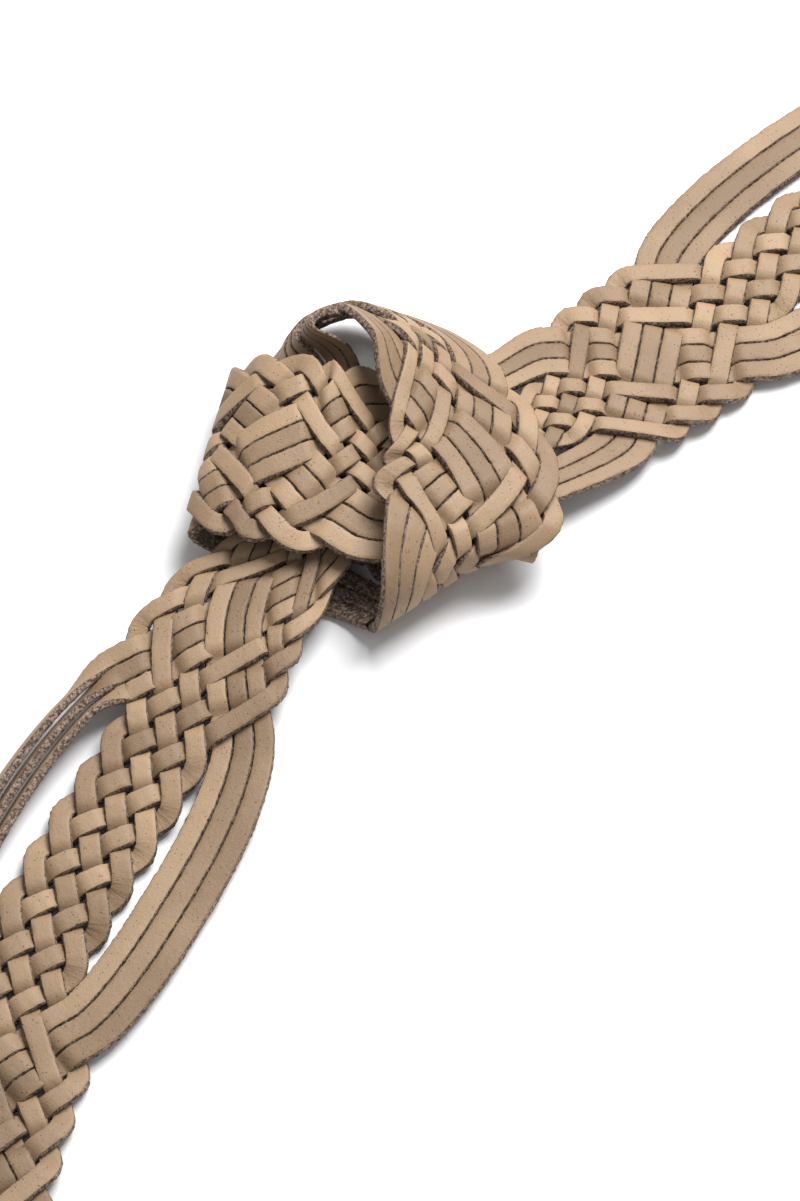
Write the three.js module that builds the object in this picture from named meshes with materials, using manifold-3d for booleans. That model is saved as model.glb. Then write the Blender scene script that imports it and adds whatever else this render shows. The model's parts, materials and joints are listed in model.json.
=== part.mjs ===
// A flat-braided leather belt, tied in one overhand knot, with a buckle and a leather tip.
// Twelve laces run from end to end: six singly, six in two bundles of three. Every lace is its own piece.
// Millimetres, +Z up. The belt lies on the plane z = 0, and the knot is near the middle of the world.
import * as THREE from "three";
import { mergeVertices } from "three/addons/utils/BufferGeometryUtils.js";
import Module from "manifold-3d";

const wasm = await Module();
wasm.setup();

// ---------------------------------------------------------------- driving dimensions
const LACE_WIDTH = 4.2;
const LACE_THICKNESS = 1.8;
const LEVEL_GAP = 0.5; // between the upper and the lower level of laces
const BUNDLE_GAP = 0.45; // between neighbours in a bundle
const SPACING = 1.64; // between neighbours that run the same way singly
const BRAID_ANGLE = 35.75; // degrees between a lace and the belt's own direction
const BUNDLE_LACES = 3;
const PASSES = 10; // passes from one crossing of the bundles to the next
const FIRST_PERIOD = -2; // the braid runs from this crossing of the bundles
const LAST_PERIOD = 5; // to this one; number 0 is where the belt enters the knot

const TAB_WIDTH = 44; // of the leather that covers each end of the braid
const STRAP_WIDTH = 35; // of the tip, and of the chape at the buckle
const TAB_THICKNESS = 1.8;
const TAB_COVER = 26; // how far a tab reaches over the braid's end
const TIP_LENGTH = 112; // from the braid's end to the point
const HOLE_DIAMETER = 5;
const HOLE_PITCH = 19;
const HOLES = 4;
const HOLE_FROM_POINT = 30;
const CHAPE_LENGTH = 50; // from the braid's end to the buckle's bar
const SLOT_LENGTH = 12; // how far the prong's slot reaches back from the bar
const SLOT_WIDTH = 7;
const RIVET_DIAMETER = 4;
const RIVET_HEAD = 8;
const RIVET_HEAD_HEIGHT = 1;
const RIVET_APART = 20;
const KEEPER_WIDTH = 11;
const KEEPER_THICKNESS = 1.8;
const KEEPER_ROOM = 6; // free height in the keeper above the chape, for the tip and the rivets' heads
const BAR_DIAMETER = 4;
const FRAME_LENGTH = 42; // from the bar to the front of the buckle
const FRAME_THICKNESS = 4;
const FRAME_RAIL = 5; // width of the buckle's sides
const FRAME_CORNER = 7;
const PRONG_WIDTH = 4.4;
const PRONG_THICKNESS = 2.4;
const EYE_THICKNESS = 1.8; // of the prong's eye round the bar
const WINDOW_SPARE = 3; // how much wider the buckle's window is than the strap
const CLEARANCE = 0.3; // between pieces that touch

const rad = THREE.MathUtils.degToRad;
const halfThickness = LACE_THICKNESS / 2;
const level = halfThickness + LEVEL_GAP / 2; // height of a lace's middle over the braid's middle
const braidHalf = level + halfThickness; // half of the braid's thickness
const pitch = LACE_WIDTH + SPACING;
const crossingStep = pitch / Math.sin(2 * rad(BRAID_ANGLE)); // along a lace, from crossing to crossing
const sideStep = crossingStep * Math.sin(rad(BRAID_ANGLE));
const forwardStep = crossingStep * Math.cos(rad(BRAID_ANGLE));
const bundlePitch = LACE_WIDTH + BUNDLE_GAP;
const tabMiddle = braidHalf + CLEARANCE + TAB_THICKNESS / 2; // height of a tab layer over the braid's middle
const tabMeet = CLEARANCE / 2 + TAB_THICKNESS / 2; // the same where the two layers lie on each other
const eyeRadius = BAR_DIAMETER / 2 + CLEARANCE + EYE_THICKNESS;
const LIFT = 0.15; // under the leather that covers the braid's end
// Height of the belt's middle at its ends, where the tabs and the prong's eye rest on the ground.
const endHeight = Math.max(tabMiddle + TAB_THICKNESS / 2, eyeRadius) + LIFT;
const bundleShare = ((BUNDLE_LACES - 1) * bundlePitch + pitch) / pitch; // a bundle's width in single passes
const period = 2 * forwardStep * (PASSES - 1 + bundleShare);

// ---------------------------------------------------------------- the route of the belt's middle surface
// Each row is x, y, z, the way the grain side faces, and the share of its width that the braid keeps there.
// The rows were chosen for a braid of this pitch and thickness. A wider or thicker braid makes a larger knot.
const ROUTE_PITCH = 5.84;
const ROUTE_THICKNESS = 4.1;
const routeSize = Math.max(pitch / ROUTE_PITCH, (2 * braidHalf) / ROUTE_THICKNESS);
const LYING = 2.3;
const lyingHeight = braidHalf + LYING - ROUTE_THICKNESS / 2;
const KNOT_ROUTE = [
  [-62, -101, LYING, 0, 0, 1, 1],
  [-45, -70, 4.2, 0, 0, 1, 0.96],
  [-31, -44, 7.2, 0, 0, 1, 0.8],
  [-15.5, -23, 8.8, 0, 0, 1, 0.52],
  [-14, -3, 9.4, 0, 0, 1, 0.5],
  [-15.5, 10, 11.3, -0.2, 0.03, 0.97, 0.45],
  [-17.5, 22, 14.6, -0.85, 0.4, 0.36, 0.48],
  [-7, 28, 15.6, 0.08, 0.86, 0.5, 0.5],
  [6.5, 20, 19, 0.5, 0.55, 0.67, 0.55],
  [14.5, 4.5, 19.6, 0.3, 0.1, 0.95, 0.7],
  [19, -11, 19.2, 0.22, -0.05, 0.97, 0.88],
  [18, -23, 18, 0.22, -0.2, 0.95, 0.95],
  [16, -30.3, 15.3, 0.41, -0.56, 0.72, 0.76],
  [14.4, -33.2, 10, 0.58, -0.81, 0, 0.76],
  [12.8, -30.3, 4.7, 0.41, -0.56, -0.72, 0.76],
  [8.4, -25.8, 2.9, 0, 0, -1, 0.76],
  [-3, -16.5, 2.7, 0, 0, -1, 0.86],
  [-17, -10, 2.4, 0, 0, -1, 0.74],
  [-29, -6, 3.6, -0.35, 0.1, -1, 0.78],
  [-35, -4, 10, -0.97, 0.24, 0, 0.94],
  [-26, -6, 17, -0.2, -0.05, 0.97, 1.02],
  [-12, -9.5, 17.6, 0, -0.16, 0.98, 1.02],
  [3, -9, 13.6, 0, -0.05, 1, 0.88],
  [19, -3.6, 9.4, 0, 0, 1, 0.66],
  [34, 5, 7.8, 0, 0, 1, 0.72],
  [51, 18, 4.4, 0, 0, 1, 0.96],
  [70, 34, 2.5, 0, 0, 1, 1],
  [95, 56, LYING, 0, 0, 1, 1],
];
const ENTRY_ROW = 2; // the row where the belt enters the knot, where lengths along the route are counted from
const CROSSINGS_AT = [3, 135, 244, 335]; // where the bundles cross in the knot, as lengths along the route
// Each tail: the way it sets off (degrees from +X), the radius and sweep of its bend, and the lengths between
// which it stands a little higher, because the leather that covers the braid's end is thicker.
const TAIL_ROW = 24;
const TIP_TAIL = { heading: -118, bend: 200, sweep: 28, raised: [60, 205] };
const BUCKLE_TAIL = { heading: 42, bend: 160, sweep: -42, raised: [110, 1000] };

// Rows that run on from a lying end: an arc, then a straight stretch.
function tailRows(from, tail, straight) {
  const rows = [];
  const arcLength = Math.abs(rad(tail.sweep)) * tail.bend;
  const count = Math.ceil((arcLength + straight) / TAIL_ROW);
  let [x, y] = from;
  for (let i = 1; i <= count; i += 1) {
    const middle = Math.min(i - 0.5, arcLength / TAIL_ROW) * TAIL_ROW;
    const heading = rad(tail.heading) + (middle / arcLength) * rad(tail.sweep);
    x += TAIL_ROW * Math.cos(heading);
    y += TAIL_ROW * Math.sin(heading);
    const raised = i * TAIL_ROW > tail.raised[0] && i * TAIL_ROW < tail.raised[1];
    rows.push([x, y, raised ? endHeight : lyingHeight, 0, 0, 1, 1]);
  }
  return rows;
}

// Cubic curve through the rows, each span as long as the distance between its rows.
function curveThrough(rows) {
  const at = [0];
  for (let i = 1; i < rows.length; i += 1) {
    const a = rows[i - 1];
    const b = rows[i];
    at.push(at[i - 1] + Math.hypot(b[0] - a[0], b[1] - a[1], b[2] - a[2]));
  }
  const slope = rows.map((row, i) => {
    const before = Math.max(i - 1, 0);
    const after = Math.min(i + 1, rows.length - 1);
    return row.map((value, k) => {
      const ahead = after > i ? (rows[after][k] - value) / (at[after] - at[i]) : 0;
      const behind = before < i ? (value - rows[before][k]) / (at[i] - at[before]) : 0;
      if (after === i) return behind;
      if (before === i) return ahead;
      return (ahead * (at[i] - at[before]) + behind * (at[after] - at[i])) / (at[after] - at[before]);
    });
  });
  const point = (t) => {
    let i = 0;
    while (i < rows.length - 2 && at[i + 1] <= t) i += 1;
    const span = at[i + 1] - at[i];
    const u = (t - at[i]) / span;
    const [a, b] = [rows[i], rows[i + 1]];
    return a.map((value, k) => hermite(u, value, slope[i][k] * span, b[k], slope[i + 1][k] * span));
  };
  return { point, at, length: at[at.length - 1] };
}

function hermite(u, p0, m0, p1, m1) {
  const u2 = u * u;
  const u3 = u2 * u;
  return (2 * u3 - 3 * u2 + 1) * p0 + (u3 - 2 * u2 + u) * m0 + (3 * u2 - 2 * u3) * p1 + (u3 - u2) * m1;
}

const FINE = 0.5; // spacing of the table of places along the route
const grown = ([x, y, z, ...rest]) => [x * routeSize, y * routeSize, z * routeSize, ...rest];
const knotRows = KNOT_ROUTE.map(grown);
const tipRoom = -FIRST_PERIOD * period + TIP_LENGTH;
const buckleRoom = (LAST_PERIOD - CROSSINGS_AT.length + 1) * period + CHAPE_LENGTH;
const tipRows = tailRows(knotRows[0], TIP_TAIL, tipRoom).reverse();
const buckleRows = tailRows(knotRows[knotRows.length - 1], BUCKLE_TAIL, buckleRoom);
const route = curveThrough([...tipRows, ...knotRows, ...buckleRows]);
const table = tabulate(route, tipRows.length + ENTRY_ROW);

// Places at even lengths along the route, with the direction, the grain side and the right-hand side at each.
function tabulate(curve, entryRow) {
  const samples = [];
  const lengths = [0];
  const entryAt = curve.at[entryRow];
  let entry = 0;
  for (let t = 0; t < curve.length; t += FINE / 2) {
    const row = curve.point(t);
    if (samples.length) {
      const last = samples[samples.length - 1];
      const step = Math.hypot(row[0] - last[0], row[1] - last[1], row[2] - last[2]);
      lengths.push(lengths[lengths.length - 1] + step);
    }
    samples.push(row);
    if (t <= entryAt) entry = lengths[lengths.length - 1];
  }
  const even = [];
  let i = 0;
  for (let s = 0; s < lengths[lengths.length - 1] - FINE; s += FINE) {
    while (lengths[i + 1] < s) i += 1;
    const share = (s - lengths[i]) / (lengths[i + 1] - lengths[i]);
    even.push(samples[i].map((value, k) => value + (samples[i + 1][k] - value) * share));
  }
  const places = even.map((row, k) => {
    const before = even[Math.max(k - 1, 0)];
    const after = even[Math.min(k + 1, even.length - 1)];
    const along = new THREE.Vector3(...after).sub(new THREE.Vector3(...before)).normalize();
    const grain = new THREE.Vector3(row[3], row[4], row[5]);
    grain.addScaledVector(along, -grain.dot(along)).normalize();
    const right = new THREE.Vector3().crossVectors(along, grain);
    return { middle: new THREE.Vector3(row[0], row[1], row[2]), grain, right, share: row[6] };
  });
  return { places, entry };
}

// Length along the route for a place in the flat braid: the braid is drawn out where the knot pulls it.
function routeLength(y) {
  const n = CROSSINGS_AT.length;
  const known = (i) => {
    if (i < 0) return CROSSINGS_AT[0] * routeSize + i * period;
    if (i >= n) return CROSSINGS_AT[n - 1] * routeSize + (i - n + 1) * period;
    return CROSSINGS_AT[i] * routeSize;
  };
  const slope = (i) => (known(i + 1) - known(i - 1)) / 2;
  const i = Math.floor(y / period);
  return hermite(y / period - i, known(i), slope(i), known(i + 1), slope(i + 1));
}

// Where a point of the flat braid (x to the right, y forward, z to the grain side) lies in the knotted belt.
function onBelt(x, y, z) {
  const place = (routeLength(y) + table.entry) / FINE;
  const i = Math.min(Math.max(Math.floor(place), 0), table.places.length - 2);
  const share = Math.min(Math.max(place - i, 0), 1);
  const a = table.places[i];
  const b = table.places[i + 1];
  const point = new THREE.Vector3().lerpVectors(a.middle, b.middle, share);
  const right = new THREE.Vector3().lerpVectors(a.right, b.right, share).normalize();
  const grain = new THREE.Vector3().lerpVectors(a.grain, b.grain, share).normalize();
  const width = a.share + (b.share - a.share) * share;
  return point.addScaledVector(right, x * width).addScaledVector(grain, z);
}

// ---------------------------------------------------------------- the plan of the braid
// Passes are numbered along the belt. Right-going pass i and left-going pass j cross at
// x = (c(j) - c(i)) * sideStep, y = (c(i) + c(j)) * forwardStep, where c counts widths of passes.
const isBundle = (i) => i % PASSES === 0;
const share = (i) => (isBundle(i) ? bundleShare : 1);

function passCentre(i) {
  const periods = Math.floor(i / PASSES);
  const rest = i - periods * PASSES;
  const inPeriod = rest === 0 ? 0 : (bundleShare + 1) / 2 + (rest - 1);
  return periods * (PASSES - 1 + bundleShare) + inPeriod;
}

// How many passes ahead a pass crosses the first and the last lace that it meets.
function reach(i) {
  const inPeriod = ((i % PASSES) + PASSES) % PASSES;
  const first = inPeriod <= 3 ? -3 : -2;
  const last = inPeriod === 0 || inPeriod >= PASSES - 3 ? 3 : 2;
  return [first, last];
}

// The pass that the same lace makes next, back to the other side.
function nextPass(i) {
  if (isBundle(i)) return i + PASSES;
  const inPeriod = ((i % PASSES) + PASSES) % PASSES;
  return inPeriod >= PASSES - 3 ? i + 4 : i + 3;
}

function planPoint(i, side, c) {
  return [(c - passCentre(i)) * sideStep * side, (passCentre(i) + c) * forwardStep];
}

// ---------------------------------------------------------------- laces
const LONGEST_STEP = 30; // longest straight piece of a lace where the belt lies flat
const LONGEST_KNOT_STEP = 9; // and in the knot
const LONGEST_BUNDLE_STEP = 10; // the same for a bundle's arc
const SHORTEST_STEP = 2.2;
const CHORD_ERROR = 0.2; // how far a straight piece may leave the bent belt
const KNOT_FROM = -45;
const KNOT_TO = 335;
const KNOT_SQUEEZE = 0.8; // share of its width and thickness that a lace keeps in the knot
const BEND_WINDOW = 3; // length over which the belt's bend is measured

// Whether a place of the flat braid lies in the knot, where the leather is squeezed.
function inKnot(y) {
  const s = routeLength(y);
  return s > KNOT_FROM && s < KNOT_TO;
}

// Longest straight piece that still follows the belt at a place of the flat braid.
function stepAt(y) {
  const at = (offset) => {
    const i = Math.round((routeLength(y) + offset + table.entry) / FINE);
    return table.places[Math.min(Math.max(i, 0), table.places.length - 1)].grain;
  };
  let bend = 1e-4;
  for (const offset of [-BEND_WINDOW, 0, BEND_WINDOW]) {
    const turned = at(offset - BEND_WINDOW / 2).angleTo(at(offset + BEND_WINDOW / 2));
    bend = Math.max(bend, turned / BEND_WINDOW);
  }
  const longest = inKnot(y) ? LONGEST_KNOT_STEP : LONGEST_STEP;
  return Math.min(Math.max(Math.sqrt((8 * CHORD_ERROR) / bend), SHORTEST_STEP), longest);
}

// Where a pass begins and ends: past the far side of a bundle, and at the middle of a single lace.
function passEnds(pass) {
  const [first, last] = reach(pass);
  const lead = isBundle(pass) ? BUNDLE_LEAD : 0;
  const beyond = (i) => (share(i) - 1) / 2 + lead;
  return [passCentre(pass + first) - beyond(pass + first), passCentre(pass + last) + beyond(pass + last)];
}

const BUNDLE_LEAD = 0.5; // how far a bundle runs on straight past its last crossing, in crossings
const BUNDLE_PULL = 0.5; // how far a bundle's arc keeps its direction at its ends, as a share of its chord
const TINY = 1e-6;
const TURN_PULL = 8; // the same for a single lace's turn, with TURN_SHARE of its chord
const TURN_SHARE = 0.8;
const TURN_STEP = 4; // longest straight piece in a single lace's turn
const ARC_TO_CHORD = 1.3; // an arc's length, roughly, as a share of its chord
const FEWEST_PIECES = 4; // in a turn or an arc
const SINGLE_HOLD = 0.25; // share of a turn over which a lace keeps its level, at each end
const BUNDLE_HOLD = 0.1;

// Height of a lace in a turn, as a share of its level: it keeps it near both ends and changes it between.
function levelInTurn(u, hold) {
  return THREE.MathUtils.clamp((0.5 - u) / (0.5 - hold), -1, 1);
}

// Longest straight piece in the turn between two places of the flat braid.
function stepInTurn(from, to, bundle) {
  const middle = stepAt((from + to) / 2);
  if (!bundle) return Math.min(middle, TURN_STEP);
  const quarter = (to - from) / 4;
  return Math.min(middle, stepAt(from + quarter), stepAt(to - quarter), LONGEST_BUNDLE_STEP);
}

// A lace's middle line in the flat braid, as rows of x, y and level, from pass to pass.
function laceLine(startPass, startSide, bundle) {
  const line = [];
  let pass = startPass;
  let side = startSide;
  const lastY = LAST_PERIOD * period + period;
  while (passCentre(pass) * 2 * forwardStep < lastY) {
    const [from, to] = passEnds(pass);
    for (let c = from; to - c > TINY; ) {
      const [x, y] = planPoint(pass, side, c);
      line.push([x, y, side]);
      c += (to - c) / Math.ceil(((to - c) * crossingStep) / stepAt(y) - TINY);
    }
    const next = nextPass(pass);
    const p0 = planPoint(pass, side, to);
    const p1 = planPoint(next, -side, passEnds(next)[0]);
    const chord = p1[1] - p0[1];
    const pull = bundle ? BUNDLE_PULL * chord : TURN_PULL + TURN_SHARE * chord;
    const sideways = (sideStep / crossingStep) * pull * side;
    const forward = (forwardStep / crossingStep) * pull;
    const turnStep = stepInTurn(p0[1], p1[1], bundle);
    const pieces = Math.max(Math.ceil((chord * ARC_TO_CHORD) / turnStep), FEWEST_PIECES);
    for (let k = 0; k < pieces; k += 1) {
      const u = k / pieces;
      const x = hermite(u, p0[0], sideways, p1[0], -sideways);
      const y = hermite(u, p0[1], forward, p1[1], forward);
      line.push([x, y, levelInTurn(u, bundle ? BUNDLE_HOLD : SINGLE_HOLD) * side]);
    }
    pass = next;
    side = -side;
  }
  return line;
}

// The part of a line between two heights y, with a row at each end exactly.
function clipped(line, from, to) {
  const rows = [];
  for (let i = 0; i + 1 < line.length; i += 1) {
    const [a, b] = [line[i], line[i + 1]];
    const cut = (y) => a.map((value, k) => value + ((b[k] - value) * (y - a[1])) / (b[1] - a[1]));
    if (a[1] < from && b[1] > from) rows.push(cut(from));
    if (a[1] >= from && a[1] <= to) rows.push(a);
    if (a[1] < to && b[1] > to) rows.push(cut(to));
  }
  return rows;
}

// A flat lace along its line, shifted to the left of its travel by offset.
function laceGeometry(line, offset) {
  const corners = line.map((row, i) => {
    const before = line[Math.max(i - 1, 0)];
    const after = line[Math.min(i + 1, line.length - 1)];
    const [dx, dy] = [after[0] - before[0], after[1] - before[1]];
    const length = Math.hypot(dx, dy);
    const left = [-dy / length, dx / length];
    const height = row[2] * level;
    const size = inKnot(row[1]) ? KNOT_SQUEEZE : 1;
    const corner = (across, up) => {
      const out = offset + (across * size * LACE_WIDTH) / 2;
      return onBelt(row[0] + left[0] * out, row[1] + left[1] * out, height + up * size * halfThickness);
    };
    return [corner(-1, -1), corner(-1, 1), corner(1, 1), corner(1, -1)];
  });
  return skin(corners);
}

// A closed surface round rows of corners, with a flat cap at each end.
function skin(rows) {
  const sides = rows[0].length;
  const positions = rows.flat().flatMap((p) => [p.x, p.y, p.z]);
  const index = [];
  for (let i = 0; i + 1 < rows.length; i += 1) {
    for (let k = 0; k < sides; k += 1) {
      const a = i * sides + k;
      const b = i * sides + ((k + 1) % sides);
      index.push(a, a + sides, b, b, a + sides, b + sides);
    }
  }
  const end = (rows.length - 1) * sides;
  for (let k = 1; k + 1 < sides; k += 1) index.push(0, k, k + 1, end, end + k + 1, end + k);
  const geometry = new THREE.BufferGeometry();
  geometry.setAttribute("position", new THREE.Float32BufferAttribute(positions, 3));
  geometry.setIndex(index);
  geometry.computeVertexNormals();
  return geometry;
}

const leather = new THREE.MeshStandardMaterial({ color: 0xb39b7d, roughness: 0.7, metalness: 0 });

const belt = new THREE.Group();
function add(name, geometry, material, parent = belt) {
  const mesh = new THREE.Mesh(geometry, material);
  mesh.name = name;
  parent.add(mesh);
  return mesh;
}

const braidFrom = FIRST_PERIOD * period;
const braidTo = LAST_PERIOD * period;
// Each lace's first pass starts before the braid's end.
const firstPass = (FIRST_PERIOD - 2) * PASSES;
const seen = new Set();
let singles = 0;
let bundles = 0;
for (let pass = firstPass; pass < firstPass + PASSES; pass += 1) {
  for (const side of [1, -1]) {
    if (seen.has(pass + "," + side)) continue;
    for (let p = pass, s = side; p < firstPass + 3 * PASSES; p = nextPass(p), s = -s) seen.add(p + "," + s);
    const bundle = isBundle(pass);
    const line = clipped(laceLine(pass, side, bundle), braidFrom, braidTo);
    if (!bundle) {
      singles += 1;
      add("single_lace_" + singles, laceGeometry(line, 0), leather);
      continue;
    }
    const letter = "ab"[bundles];
    bundles += 1;
    for (let k = 0; k < BUNDLE_LACES; k += 1) {
      const offset = (k - (BUNDLE_LACES - 1) / 2) * bundlePitch;
      add("bundle_" + letter + "_lace_" + (k + 1), laceGeometry(line, offset), leather);
    }
  }
}

// ---------------------------------------------------------------- leather tabs
const TAPER = 12; // length over which the two layers come together past the braid's end
const END_STEP = 11; // spacing of a layer's rows
const LACE_ENDS = 2.5; // how far the slanting ends of the laces reach past the braid's end
const POINT_ROWS = 8;
const POINT_LENGTH = 24;
const POINT_BLUNT = 0.12; // half width of the tip's end, as a share of the strap's
const TAPER_ROWS = 4;
const ROW_APART = 2; // least distance between a layer's evenly spaced rows and a shaped stretch

const ease = (u) => THREE.MathUtils.smoothstep(u, 0, 1);

// How far the leather has come together at a distance past the braid's end, from 0 to 1.
const taper = (d) => ease((d - LACE_ENDS) / TAPER);

// Half width of the leather there.
function tabHalf(d) {
  return THREE.MathUtils.lerp(TAB_WIDTH, STRAP_WIDTH, taper(d)) / 2;
}

// A strip of leather from rows of y, half width, middle height and slope, in the flat braid.
function strip(rows) {
  const corners = rows.map(([y, half, middle, tilt = 0]) => {
    const up = (TAB_THICKNESS / 2) * Math.cos(tilt);
    const back = (TAB_THICKNESS / 2) * Math.sin(tilt);
    return [
      onBelt(half, y + back, middle - up),
      onBelt(half, y - back, middle + up),
      onBelt(-half, y - back, middle + up),
      onBelt(-half, y + back, middle - up),
    ];
  });
  return skin(corners);
}

// Rows of the distances past the braid's end at which a strip of leather has its corners.
function distances(to) {
  const list = [];
  for (let d = -TAB_COVER; d < 0; d += END_STEP) list.push(d);
  for (let i = 0; i <= TAPER_ROWS; i += 1) list.push(LACE_ENDS + (TAPER * i) / TAPER_ROWS);
  for (let d = LACE_ENDS + TAPER + END_STEP; d < to; d += END_STEP) list.push(d);
  return list;
}

function tipLayer(face) {
  const shoulder = TIP_LENGTH - POINT_LENGTH;
  const rows = distances(shoulder - ROW_APART).map((d) => {
    const middle = THREE.MathUtils.lerp(tabMiddle, tabMeet, taper(d));
    return [braidFrom - d, tabHalf(d), face * middle];
  });
  for (let i = 0; i <= POINT_ROWS; i += 1) {
    const turn = ((i / POINT_ROWS) * Math.PI) / 2;
    const half = (STRAP_WIDTH / 2) * Math.max(Math.cos(turn), POINT_BLUNT);
    rows.push([braidFrom - shoulder - POINT_LENGTH * Math.sin(turn), half, face * tabMeet]);
  }
  return strip(rows.reverse());
}

// Solids for cutting and joining.
function solid(geometry, matrix = new THREE.Matrix4()) {
  const bare = new THREE.BufferGeometry();
  const source = geometry.index ? geometry.toNonIndexed() : geometry;
  bare.setAttribute("position", source.getAttribute("position").clone());
  bare.applyMatrix4(matrix);
  const merged = mergeVertices(bare, 1e-4);
  return new wasm.Manifold(
    new wasm.Mesh({
      numProp: 3,
      vertProperties: merged.attributes.position.array,
      triVerts: new Uint32Array(merged.index.array),
    }),
  );
}

function geometryOf(made) {
  const mesh = made.getMesh();
  const geometry = new THREE.BufferGeometry();
  geometry.setAttribute("position", new THREE.BufferAttribute(new Float32Array(mesh.vertProperties), 3));
  geometry.setIndex(new THREE.BufferAttribute(new Uint32Array(mesh.triVerts), 1));
  geometry.computeVertexNormals();
  return geometry;
}

// The frame of the belt at a place of the flat braid: x right, y along the belt, z to the grain side.
function placeAt(y, turned = false) {
  const origin = onBelt(0, y, 0);
  const along = onBelt(0, y + 1, 0).sub(origin).multiplyScalar(turned ? -1 : 1).normalize();
  const grain = onBelt(0, y, 1).sub(origin).normalize();
  const right = new THREE.Vector3().crossVectors(along, grain);
  return new THREE.Matrix4().makeBasis(right, along, grain).setPosition(origin);
}

function upright(radius, height, sides = 16) {
  return new THREE.CylinderGeometry(radius, radius, height, sides).rotateX(Math.PI / 2);
}

const pointAt = braidFrom - TIP_LENGTH;
const tipHoles = Array.from({ length: HOLES }, (_, i) => pointAt + HOLE_FROM_POINT + i * HOLE_PITCH);
for (const [name, face] of [["tip_upper_leather", 1], ["tip_lower_leather", -1]]) {
  const punch = upright(HOLE_DIAMETER / 2, 4 * TAB_THICKNESS);
  let made = solid(tipLayer(face));
  for (const y of tipHoles) made = made.subtract(solid(punch, placeAt(y)));
  add(name, geometryOf(made), leather);
}

// The chape: one strip that covers the braid, comes together, turns round the bar and goes back underneath.
const barAt = braidTo + CHAPE_LENGTH;
const foldRadius = BAR_DIAMETER / 2 + CLEARANCE + TAB_THICKNESS / 2;
const FOLD_ROWS = 12;
const FOLD_EASE = 10; // length over which the layers part again before the bar
const EASE_ROWS = 4;
const easeFrom = CHAPE_LENGTH - FOLD_EASE - ROW_APART;

function chapeMiddle(d) {
  const closing = THREE.MathUtils.lerp(tabMiddle, tabMeet, taper(d));
  const opening = THREE.MathUtils.lerp(tabMeet, foldRadius, ease((d - easeFrom) / FOLD_EASE));
  return d < CHAPE_LENGTH / 2 ? closing : opening;
}

function chape() {
  const along = distances(easeFrom - ROW_APART / 2);
  for (let i = 0; i <= EASE_ROWS; i += 1) along.push(easeFrom + (FOLD_EASE * i) / EASE_ROWS);
  const upper = along.map((d) => [braidTo + d, tabHalf(d), chapeMiddle(d), 0]);
  const fold = [];
  for (let i = 0; i <= FOLD_ROWS; i += 1) {
    const turn = (i / FOLD_ROWS) * Math.PI;
    fold.push([barAt + foldRadius * Math.sin(turn), STRAP_WIDTH / 2, foldRadius * Math.cos(turn), -turn]);
  }
  const lower = along.map((d) => [braidTo + d, tabHalf(d), -chapeMiddle(d), -Math.PI]).reverse();
  const slot = new THREE.BoxGeometry(SLOT_WIDTH, SLOT_LENGTH + 2 * foldRadius, 6 * foldRadius);
  slot.translate(0, foldRadius - SLOT_LENGTH / 2, 0);
  const hole = upright(RIVET_DIAMETER / 2 + CLEARANCE, 4 * leatherHeight);
  let made = solid(strip([...upper, ...fold, ...lower])).subtract(solid(slot, placeAt(barAt)));
  for (const x of rivetPlaces) made = made.subtract(solid(hole, rivetPlace(x)));
  return geometryOf(made);
}

const keeperFrom = LACE_ENDS + TAPER;
const RIVET_ROOM = 1.5; // between the keeper and the rivets' heads
const rivetY = braidTo + keeperFrom + KEEPER_WIDTH + RIVET_HEAD / 2 + RIVET_ROOM;
const rivetPlaces = [-RIVET_APART / 2, RIVET_APART / 2];
const rivetPlace = (x) => placeAt(rivetY).multiply(new THREE.Matrix4().makeTranslation(x, 0, 0));
const leatherHeight = tabMeet + TAB_THICKNESS / 2; // from the middle to the outside of the two layers
add("chape", chape(), leather);

const brass = new THREE.MeshStandardMaterial({ color: 0xb59a62, roughness: 0.35, metalness: 1 });

rivetPlaces.forEach((x, i) => {
  const headAt = leatherHeight + CLEARANCE + RIVET_HEAD_HEIGHT / 2;
  const shank = solid(upright(RIVET_DIAMETER / 2, 2 * headAt));
  const head = solid(upright(RIVET_HEAD / 2, RIVET_HEAD_HEIGHT).translate(0, 0, headAt));
  const foot = solid(upright(RIVET_HEAD / 2, RIVET_HEAD_HEIGHT).translate(0, 0, -headAt));
  add("chape_rivet_" + (i + 1), geometryOf(shank.add(head).add(foot)), brass).applyMatrix4(rivetPlace(x));
});

// An outline with four rounded corners, about the middle in x.
function rounded(width, low, high, radius) {
  const shape = new THREE.Shape();
  const half = width / 2;
  shape.moveTo(-half + radius, low);
  shape.lineTo(half - radius, low);
  shape.absarc(half - radius, low + radius, radius, -Math.PI / 2, 0);
  shape.lineTo(half, high - radius);
  shape.absarc(half - radius, high - radius, radius, 0, Math.PI / 2);
  shape.lineTo(-half + radius, high);
  shape.absarc(-half + radius, high - radius, radius, Math.PI / 2, Math.PI);
  shape.lineTo(-half, low + radius);
  shape.absarc(-half + radius, low + radius, radius, Math.PI, 1.5 * Math.PI);
  return shape;
}

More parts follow.
